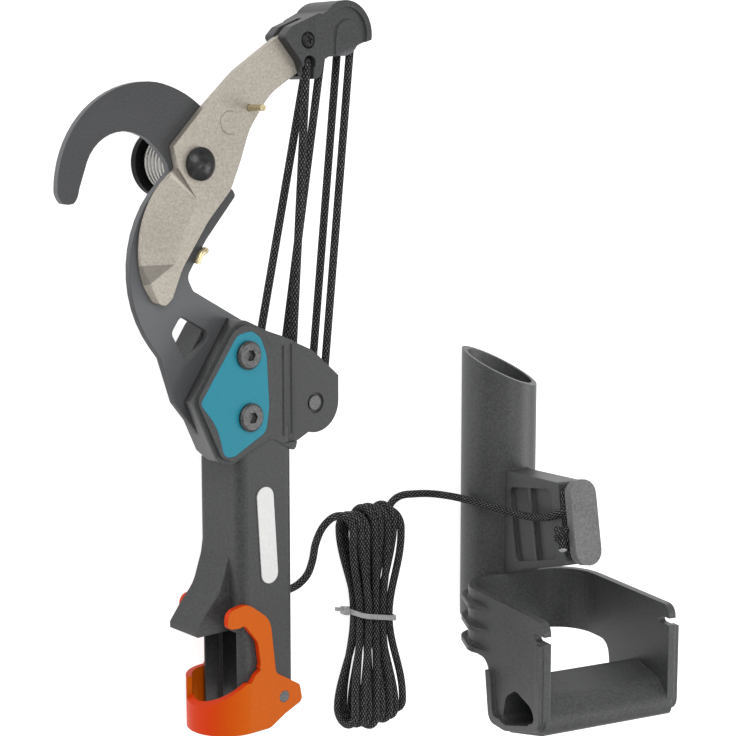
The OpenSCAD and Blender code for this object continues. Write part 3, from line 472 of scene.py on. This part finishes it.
def sweep(bm, route, radius, sides=SIDES):
    """A tube along the route in bm, with yarns round it and pitches along it as its UV map."""
    uv = bm.loops.layers.uv.verify()
    last = len(route) - 1
    ahead = [(route[min(i + 1, last)] - route[max(i - 1, 0)]).normalized() for i in range(last + 1)]
    across = ahead[0].orthogonal().normalized()
    rings, along, distance = [], [], 0
    for i, (point, way) in enumerate(zip(route, ahead)):
        across = (across - across.dot(way) * way).normalized()
        over = way.cross(across)
        distance += (point - route[i - 1]).length if i else 0
        along.append(distance / PITCH)
        rings.append([
            bm.verts.new(point + radius * (math.cos(a) * across + math.sin(a) * over))
            for a in (2 * math.pi * k / sides for k in range(sides))
        ])
    for i in range(last):
        for k in range(sides):
            n = (k + 1) % sides
            face = bm.faces.new((rings[i][k], rings[i][n], rings[i + 1][n], rings[i + 1][k]))
            face.smooth = True
            corners = ((k, i), (k + 1, i), (k + 1, i + 1), (k, i + 1))
            for loop, (column, row) in zip(face.loops, corners):
                loop[uv].uv = (YARNS * column / sides, along[row])
    bm.faces.new(rings[0][::-1])
    bm.faces.new(rings[-1])
    return distance


def millimetres(points):
    return [Vector(p) * MM for p in points]


# %% [markdown]
# ## The pull cord
# One cord leaves the grip, lies on the table, goes eight times round the hank and climbs to the handle's cleat.
# The hank is worked out: its loops stand on edge side by side, down the front and up the back, and are drawn in
# at the tie, where each second loop lies higher to make room. The loose ends follow given points.
# Sizes and points are typed in millimetres from here on, and a route is turned into metres before it is swept.

# %% The hank's line
CORD_HALF, CORD_GAP, TIE_ROOM = 2.1, 0.3, 1.3
hank_middle = Vector((97, 21.3, 0))
HANK_LOOPS, HANK_STEP, HANK_RUN, HANK_WAIST = 8, 4.9, 106, 0.5
HANK_DEPTH, HANK_FOLD, HANK_PITCH = 10, 17, 4.95
LOOP_RUN, LOOP_TURN, LAST_LOOP_SHORT = 0.3, 0.2, 5 / 24
ARCH_TOP, ARCH_FOOT, UNEVEN, UNEVEN_DEGREES = 0.09, 0.07, 0.02, 137
HANK_RINGS = 96


def drawn_in(y):
    """1 at the tie, falling to 0 at the folds."""
    return 0 if abs(y) > HANK_RUN / 2 else (1 + math.cos(2 * math.pi * y / HANK_RUN)) / 2


def narrow(y):
    """The hank's width at y, as a share of its full width."""
    return 1 - (1 - HANK_WAIST) * drawn_in(y)


def parting(y):
    """How far every second loop lies above its neighbours, halved."""
    return math.sqrt(max(0, HANK_PITCH**2 - (HANK_STEP * narrow(y)) ** 2)) / 2


waist_z = table_z / MM + TIE_ROOM + CORD_GAP + CORD_HALF + parting(0) + HANK_DEPTH / 2
fold_z = table_z / MM + CORD_GAP + CORD_HALF + parting(HANK_RUN) + HANK_FOLD / 2


def loop_point(f):
    """One loop as its length and its side: down the front, round, up the back and round."""
    half = HANK_RUN / 2
    if f < LOOP_RUN:
        return HANK_RUN * (0.5 - f / LOOP_RUN), 1
    if f < 0.5:
        a = math.pi * (f - LOOP_RUN) / LOOP_TURN
        return -half - HANK_FOLD / 2 * math.sin(a), math.cos(a)
    if f < 0.5 + LOOP_RUN:
        return HANK_RUN * ((f - 0.5) / LOOP_RUN - 0.5), -1
    a = math.pi * (f - 0.5 - LOOP_RUN) / LOOP_TURN
    return half + HANK_FOLD / 2 * math.sin(a), -math.cos(a)


def hank_point(s):
    """The point after s loops, in metres."""
    u = 2 * s / HANK_LOOPS - 1
    y, side = loop_point(s % 1)
    odd = math.floor(s + LOOP_TURN / 2) % 2 * 2 - 1
    arch = 1 - (ARCH_TOP if y > 0 else ARCH_FOOT) * u * u + UNEVEN * math.sin(math.radians(UNEVEN_DEGREES * s))
    depth = HANK_FOLD + (HANK_DEPTH - HANK_FOLD) * drawn_in(y)
    return (hank_middle + Vector((
        u * HANK_LOOPS / 2 * HANK_STEP * narrow(y),
        y * arch,
        fold_z + (waist_z - fold_z) * drawn_in(y) + side * (depth / 2 + odd * parting(y)),
    ))) * MM


hank_rings = round((HANK_LOOPS - LAST_LOOP_SHORT) * HANK_RINGS)
hank_line = [hank_point(i / HANK_RINGS) for i in range(hank_rings + 1)]

# %% The cleat's axes, because the cord's end climbs the cleat
TUBE_X, TUBE_UP, TUBE_ROLL = 186, 21.5, -15
CLEAT_Y, CLEAT_UP, CLEAT_LEAN = 67, 15.5, -12
cleat_axes = (
    Matrix.Translation((TUBE_X * MM, 0, table_z + TUBE_UP * MM))
    @ Matrix.Rotation(math.radians(TUBE_ROLL), 4, "Y")
    @ Matrix.Translation((0, CLEAT_Y * MM, CLEAT_UP * MM))
    @ Matrix.Rotation(math.radians(CLEAT_LEAN), 4, "X")
)


def on_cleat(x, y, z):
    """A point in the cleat's axes, as metres in the shared frame."""
    return cleat_axes @ (Vector((x, y, z)) * MM)


# %% The loose ends, and the whole cord
ROUTE_STEPS = 8
cord_exit = Vector((13, 58, -13.6)) * MM
lead_points = millimetres((
    (12.9, 52, -14), (14.6, 46.5, -14.6), (19, 43.5, -15.8), (27, 43, -18.2), (36, 43, -21.4),
    (45, 43.5, -23.8), (53, 45, -24.6), (59.5, 49.5, -24.6), (62.8, 57, -24.2), (63.6, 66, -22.6),
    (65, 75, -18.8), (68.4, 81.2, -14.2), (72.9, 82.2, -10.4), (76.3, 78.4, -8.2),
))
tail_points = millimetres((
    (116.2, 72, -24.4), (118.2, 77.4, -24.5), (122.2, 81.4, -24.5), (128.5, 83.2, -24.5), (137, 82.7, -24.5),
    (147, 81.5, -24.5), (155, 80.3, -20.5), (159.5, 79.5, -10), (161.6, 78.6, 4), (162, 77.8, 20),
    (161.4, 77.6, 36), (159.2, 78.8, 50),
))
to_neck = ((-10.9, 2.3, 57.9), (-10.3, 3, 62), (-9, 3.8, 65.4), (-7.2, 4.6, 68), (-5.2, 5.3, 69.9))
lead = [cord_exit, *lead_points, hank_line[0] + Vector((0, CORD_D, 0)), hank_line[0]]
tail = [hank_line[-1], *tail_points, *(on_cleat(*p) for p in to_neck)]
cord_line = smooth_route(lead, ROUTE_STEPS)[:-1] + hank_line + smooth_route(tail, ROUTE_STEPS)[1:]

bm = bmesh.new()
cord_length = sweep(bm, cord_line, CORD_D / 2)
pull_cord = piece("pull_cord", bm, cord_braid, stands_for=("cord_lead", "cord_hank", "cord_tail"))
print("pull cord", round(cord_length, 3), "m")

# %% [markdown]
# The cord's far end is tied round the neck under the cleat's end plate. The neck belongs to the handle, which
# leans over, so the turn is drawn in the cleat's own axes too. A stopper knot closes the turn: its line is a
# trefoil, which crosses itself as the knot does. The cut end is melted to a pale tip.

# %% The turn round the cleat, and the knot
CLEAT_TOP = 66
NECK_LEVEL = CLEAT_TOP + CORD_GAP + CORD_HALF
KNOT_WIDE, KNOT_LONG, KNOT_HIGH, KNOT_STEPS, KNOT_CLOSED = 1.3, 1.75, 1.9, 96, 0.97
KNOT_CORD, CUT_POINTS, NECK_STEPS = 0.9, 10, 6
turn_corners = ((-5.6, -5), (-5.6, -15), (-4.2, -18.6), (0, -20), (4.2, -18.6), (5.6, -15), (5.6, 12),
                (4.2, 15.6), (0, 17), (-4.2, 15.6), (-5.6, 12), (-5.6, -5))
knot_middle = on_cleat(-10.6, -6.5, 70.2)
trefoil = []
for i in range(KNOT_STEPS + 1):
    a = 2 * math.pi * KNOT_CLOSED * i / KNOT_STEPS
    trefoil.append(knot_middle + MM * Vector((
        KNOT_WIDE * (math.sin(a) + 1.7 * math.sin(2 * a)),
        KNOT_LONG * (math.cos(a) - 1.3 * math.cos(2 * a)),
        -KNOT_HIGH * math.sin(3 * a),
    )))
cut_way = (cleat_axes.to_3x3() @ Vector((-0.2, -0.945, 0.259))).normalized()
cut_end = [knot_middle + cut_way * MM * i for i in range(CUT_POINTS)]

bm = bmesh.new()
neck_turn = smooth_route([on_cleat(x, y, NECK_LEVEL) for x, y in turn_corners], NECK_STEPS)
sweep(bm, neck_turn, CORD_D / 2, FEWER_SIDES)
sweep(bm, trefoil, CORD_D / 2 * KNOT_CORD, FEWER_SIDES)
sweep(bm, cut_end, CORD_D / 2, FEWER_SIDES)
knot = piece("knot", bm, cord_braid, stands_for=("cord_knot",))

bm = bmesh.new()
bmesh.ops.create_uvsphere(bm, u_segments=16, v_segments=8, radius=CORD_D / 2 * 1.04)
bmesh.ops.scale(bm, verts=bm.verts, vec=(1, 1, 0.45))
turned = cut_way.to_track_quat("Z", "Y").to_matrix().to_4x4()
bmesh.ops.transform(bm, matrix=Matrix.Translation(cut_end[-1]) @ turned, verts=bm.verts)
for face in bm.faces:
    face.smooth = True
piece("melted_tip", bm, tie_plastic)

# %% [markdown]
# ## Cord in the tackle
# Between the sheaves the cord is taut. When the blade closes, the cap's end of each strand moves along a chord
# towards the body, and the strand would shorten with it; here each strand stays at rest on the head, and only
# the share of it that would be kept is worked out and printed. A half turn rides with the lever or the head,
# whichever has its sheave.

# %% Strands
STRAND_STEPS, WRAP_STEPS = 40, 32
pivot = Vector((-30, 272.5, 0))
cap_centre, body_centre = Vector((57, 336, 0)), Vector((35.5, 151, 0))
CAP_RADIUS, BODY_RADIUS, CORD_LEVEL = 8.8, 10.5, 5
blade_joint = next(j for j in frame["joints"] if j["name"] == "blade_pivot")
closing = Matrix.Rotation(-math.radians(blade_joint["range_deg"][1]), 3, "Z")
line_up = (cap_centre - body_centre).normalized()
beside = Vector((line_up.y, -line_up.x, 0))
front, back = Vector((0, 0, CORD_LEVEL)), Vector((0, 0, -CORD_LEVEL))
anchor = Vector((33, 321, 9.6))
run_top, run_foot = Vector((14, 186, -5)), cord_exit / MM
body_left, body_right = body_centre - BODY_RADIUS * beside, body_centre + BODY_RADIUS * beside
cap_left, cap_right = cap_centre - CAP_RADIUS * beside, cap_centre + CAP_RADIUS * beside
strands = {
    "strand_anchor": (body_left + front, anchor),
    "strand_front_right": (body_right + front, cap_right + front),
    "strand_front_left": (body_left + back, cap_left + front),
    "strand_back_right": (body_right + back, cap_right + back),
    "strand_pull": (run_top, cap_left + back),
}


def straight(start, end):
    return [(start + (end - start) * i / STRAND_STEPS) * MM for i in range(STRAND_STEPS + 1)]


for name, (foot, head_end) in strands.items():
    bm = bmesh.new()
    sweep(bm, straight(foot, head_end), CORD_D / 2)
    strand = piece(name + "_braid", bm, cord_braid, stands_for=(name,))
    shift = pivot + closing @ (head_end - pivot) - head_end
    axis = -shift.normalized()
    keep = 1 - shift.length / axis.dot(head_end - foot)
    foot * MM
    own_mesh(strand)
    print(name, "keeps", round(keep, 3))

# %% Half turns on the sheaves, the run through the grip and the knotted end in the cap
TURN_RADIUS, TURN_RISE, TURN_CORD, TURN_STEPS = 1.2, 0.6, 1.3, 24
first_angle = math.atan2(beside.y, beside.x)
for name, centre, radius, level, turn, body in (
    ("cap_wrap_front", cap_centre, CAP_RADIUS, front, 0, "lever"),
    ("cap_wrap_back", cap_centre, CAP_RADIUS, back, 0, "lever"),
    ("body_wrap_front", body_centre, BODY_RADIUS, front, math.pi, "head"),
    ("body_wrap_back", body_centre, BODY_RADIUS, back, math.pi, "head"),
):
    bm = bmesh.new()
    angles = [first_angle + turn + math.pi * i / WRAP_STEPS for i in range(WRAP_STEPS + 1)]
    half_turn = [centre + level + radius * Vector((math.cos(a), math.sin(a), 0)) for a in angles]
    sweep(bm, [p * MM for p in half_turn], CORD_D / 2)
    piece(name + "_braid", bm, cord_braid, body, (name,))

bm = bmesh.new()
sweep(bm, straight(run_top, run_foot), CORD_D / 2)
piece("cord_run_braid", bm, cord_braid, stands_for=("cord_run",))

bm = bmesh.new()
angles = [2 * math.pi * i / TURN_STEPS for i in range(TURN_STEPS + 1)]
anchor_turn = [
    anchor + Vector((TURN_RADIUS * math.cos(a), TURN_RADIUS * math.sin(a), TURN_RISE * math.sin(a / 2)))
    for a in angles
]
sweep(bm, [p * MM for p in anchor_turn], TURN_CORD * MM, FEWER_SIDES)
piece("anchor_knot_braid", bm, cord_braid, "lever", ("anchor_knot",))

# %% [markdown]
# ## Hook plate and blade
# The solids have the plate's and the blade's forms, and here their edges are drawn a little finer. A merged
# copy of a solid's mesh is moved point by point: the hook comes in on its left, its mouth opens into a deeper
# lobe, its tip is rounded, and the blade's cutting edge draws back. The plate's rim is then rounded over.

# %% Steel forms
MERGE, SLIVER = 0.001 * MM, 0.002 * MM
HOOK_IN, HOOK_IN_FROM, HOOK_IN_OVER = 2.3, -40, 20
LOBE_X, LOBE_Y, LOBE_SPREAD, LOBE_DEPTH = -49, 270, 6.5, 3.6
TIP_X, TIP_Y, TIP_OVER_X, TIP_OVER_Y = -90, 268, 4, 12
TIP_MIDDLE, TIP_ROUND, TIP_DROP = -101.7, 0.11, 0.5
EDGE_X, EDGE_Y, EDGE_RADIUS, EDGE_MARGIN = -16.7, 231.1, 49.35, 0.8
EDGE_PULL, EDGE_DEPTH, EDGE_FROM, EDGE_OVER = 2.7, 16, -38, 8
RIM_ANGLE, RIM_UP_TO, RIM_ROUND = math.radians(60), -20, 0.45


def eased(t):
    """A soft step from 0 to 1."""
    t = min(1, max(0, t))
    return t * t * (3 - 2 * t)


def draw_hook(x, y):
    lobe = math.exp(-((x - LOBE_X) ** 2 + (y - LOBE_Y) ** 2) / (2 * LOBE_SPREAD**2))
    tip = eased((TIP_Y - y) / TIP_OVER_Y) * eased((TIP_X - x) / TIP_OVER_X)
    inward = HOOK_IN * eased((HOOK_IN_FROM - x) / HOOK_IN_OVER)
    return x + inward + LOBE_DEPTH * lobe, y + tip * (TIP_ROUND * (x - TIP_MIDDLE) ** 2 - TIP_DROP)


def draw_edge(x, y):
    out = Vector((x - EDGE_X, y - EDGE_Y))
    inside = EDGE_RADIUS - out.length
    pull = 0
    if inside > -EDGE_MARGIN:
        pull = EDGE_PULL * eased(1 - inside / EDGE_DEPTH) * eased((EDGE_FROM - x) / EDGE_OVER)
    return x - pull * out.x / out.length, y - pull * out.y / out.length


def redrawn(node, draw):
    """A merged copy of a solid's mesh with every point moved, and with more points along the hook's tip."""
    bm = bmesh.new()
    bm.from_mesh(frame["nodes"][node].data)
    bmesh.ops.remove_doubles(bm, verts=bm.verts, dist=MERGE)
    bmesh.ops.dissolve_limit(bm, angle_limit=math.radians(0.3), verts=bm.verts, edges=bm.edges)
    tip = [e for e in bm.edges if all(v.co.y < TIP_Y * MM and v.co.x < TIP_X * MM for v in e.verts)
           and abs(e.verts[0].co.z - e.verts[1].co.z) < MM]
    bmesh.ops.subdivide_edges(bm, edges=tip, cuts=3)
    for vert in bm.verts:
        vert.co.x, vert.co.y = (MM * c for c in draw(vert.co.x / MM, vert.co.y / MM))
    return bm


bm = redrawn("hook_plate", draw_hook)
rim = [e for e in bm.edges if e.is_manifold and e.calc_face_angle() > RIM_ANGLE
       and max(v.co.x for v in e.verts) < RIM_UP_TO * MM]
bmesh.ops.bevel(bm, geom=rim, offset=RIM_ROUND * MM, segments=2, profile=0.5, affect="EDGES", material=-1)
bmesh.ops.remove_doubles(bm, verts=bm.verts, dist=SLIVER)
bmesh.ops.dissolve_degenerate(bm, dist=SLIVER, edges=bm.edges)
piece("hook_form", bm, hook_coat, stands_for=("hook_plate",))
piece("blade_form", redrawn("blade", draw_edge), blade_coat, "lever", ("blade",))

# %% [markdown]
# ## Return spring
# The spring opens the jaw. Its coil sits on the pivot behind the plate, one leg passes up through the blade,
# and the other is hooked round the plate's edge. The upper leg turns with the blade about the same axis as the
# coil, so it can ride on the lever and still meet the coil; the rest stays with the head.

# %% Spring
WIRE, LEG, COIL_STEPS, LEG_STEPS = 1.4, 1.6, 240, 8
coil_radius, coil_top, coil_drop, coil_turns = 12.5, -3.7, 17.5, 5
blade_top, leg_above = 6.3, 11
hole, hook = Vector((0, 299, 0)), Vector((-24.6, 230.9, 0))


def meets_coil(point, flip):
    """The angle where a straight leg from the point touches the coil."""
    away = point - pivot
    return math.atan2(away.y, away.x) + flip * math.acos(coil_radius / away.length)


def on_coil(a, z):
    return pivot + Vector((coil_radius * math.cos(a), coil_radius * math.sin(a), z))


first, final = meets_coil(hole, -1), meets_coil(hook, 1)
swing = 2 * math.pi * coil_turns + (first - final) % (2 * math.pi)
coil_shares = [i / COIL_STEPS for i in range(COIL_STEPS + 1)]
coil = [on_coil(first - swing * t, coil_top - coil_drop * t) for t in coil_shares]
up = Vector((0, 0, 1))
coil_foot = coil_top - coil_drop
in_plane = (on_coil(final, 0) - hook).normalized()
low_leg = smooth_route([
    coil[-1], coil[-1].lerp(hook + coil_foot * up, 0.5), hook + 3 * in_plane + coil_foot * up,
    hook + (coil_foot + 3) * up, hook + up, Vector((-26.3, 230.8, 4.0)), Vector((-28.6, 229.6, 4.7)),
    Vector((-30.2, 226.6, 4.4)), Vector((-30.8, 224.8, 4.2)),
], LEG_STEPS)
bm = bmesh.new()
sweep(bm, [p * MM for p in coil + low_leg[1:LEG_STEPS + 1]], WIRE * MM, FEWER_SIDES)
piece("spring_coil", bm, spring_steel, stands_for=("return_spring",))
bm = bmesh.new()
sweep(bm, [p * MM for p in low_leg[LEG_STEPS:]], LEG * MM, FEWER_SIDES)
piece("spring_hook", bm, spring_end)

towards = (on_coil(first, 0) - hole).normalized()
high_leg = smooth_route([
    coil[0], coil[0].lerp(hole + coil_top * up, 0.5), hole + 3 * towards + coil_top * up,
    hole + (coil_top + 3) * up, hole + blade_top * up, hole + (blade_top + leg_above) * up,
], LEG_STEPS)
bm = bmesh.new()
sweep(bm, [p * MM for p in high_leg], LEG * MM, FEWER_SIDES)
piece("spring_leg", bm, spring_end, "lever")

# %% [markdown]
# ## Cable tie
# The tie is a flat band round the hank's waist with a ratchet head on the left. The band starts as a rounded
# outline that is drawn out to its width and given a wall. The whole tie sits a little askew, as a tie pulled
# tight by hand does.

# %% Tie
TIE_HALF, TIE_WIDTH, TIE_WALL, TIE_SLANT = 12.9, 2.9, 1.1, 0.24
TIE_CORNER, CORNER_STEPS, TIE_EASE, TIE_OFF_TABLE = 4.5, 6, 0.25, 0.15
tie_place = hank_middle + Vector((-0.2, 1, 0))
tie_low, tie_high = table_z / MM + TIE_OFF_TABLE, waist_z + HANK_DEPTH / 2 + parting(0) + CORD_HALF + TIE_ROOM
tie_middle, tie_reach = (tie_low + tie_high) / 2, (tie_high - tie_low) / 2
bm = bmesh.new()
outline = []
for cx, cz, a0 in ((1, -1, -90), (1, 1, 0), (-1, 1, 90), (-1, -1, 180)):
    for k in range(CORNER_STEPS + 1):
        a = math.radians(a0 + 90 * k / CORNER_STEPS)
        outline.append(bm.verts.new((
            cx * (TIE_HALF - TIE_CORNER) + TIE_CORNER * math.cos(a),
            -TIE_WIDTH / 2,
            tie_middle + cz * (tie_reach - TIE_CORNER) + TIE_CORNER * math.sin(a),
        )))
rim = [bm.edges.new((outline[i], outline[(i + 1) % len(outline)])) for i in range(len(outline))]
drawn = bmesh.ops.extrude_edge_only(bm, edges=rim)["geom"]
bmesh.ops.translate(bm, verts=[v for v in drawn if isinstance(v, bmesh.types.BMVert)], vec=(0, TIE_WIDTH, 0))
bmesh.ops.recalc_face_normals(bm, faces=bm.faces)
bmesh.ops.solidify(bm, geom=bm.faces[:], thickness=TIE_WALL)
tie_head = ((3.8, 4.6, 3.8), (-TIE_HALF - 1.8, 0, -20))
tie_tail = ((5, 2.2, 1.2), (-TIE_HALF - 5.8, 0.5, -20.4))
for size, place in (tie_head, tie_tail):
    block = bmesh.ops.create_cube(bm, size=1)["verts"]
    bmesh.ops.scale(bm, verts=block, vec=size)
    bmesh.ops.translate(bm, verts=block, vec=place)
bmesh.ops.bevel(bm, geom=bm.edges[:], offset=TIE_EASE, segments=2, profile=0.5, affect="EDGES", material=-1)
for vert in bm.verts:
    vert.co.y -= TIE_SLANT * vert.co.x
bmesh.ops.translate(bm, verts=bm.verts, vec=tie_place)
bmesh.ops.scale(bm, verts=bm.verts, vec=(MM, MM, MM))
piece("tie", bm, tie_plastic, stands_for=("cable_tie",))

# %% [markdown]
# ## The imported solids
# The rigid pieces keep their solids, and each gets the finish of its own material.

# %% Finishes on the solids
finishes = {
    grey_plastic: ("housing", "lever_cap"),
    handle_plastic: ("pull_handle",),
    cleat_plastic: ("cleat_plate",),
    teal_plastic: ("housing_cover",),
    orange_plastic: ("socket_clip",),
    white_plastic: ("grip_badge",),
    sheave_plastic: ("cap_sheave_front", "cap_sheave_back", "body_sheave_front", "body_sheave_back"),
    pivot_steel: ("pivot_bolt",),
    disc_black: ("spring_disc",),
    black_steel: ("cap_screw",),
    screw_steel: ("cover_screws", "body_axle", "clip_pins"),
    bright_steel: ("pivot_bush", "pivot_nut", "cover_nuts", "cap_axle"),
}
for material, names in finishes.items():
    for name in names:
        mesh = frame["nodes"][name].data
        mesh.materials.clear()
        mesh.materials.append(material)
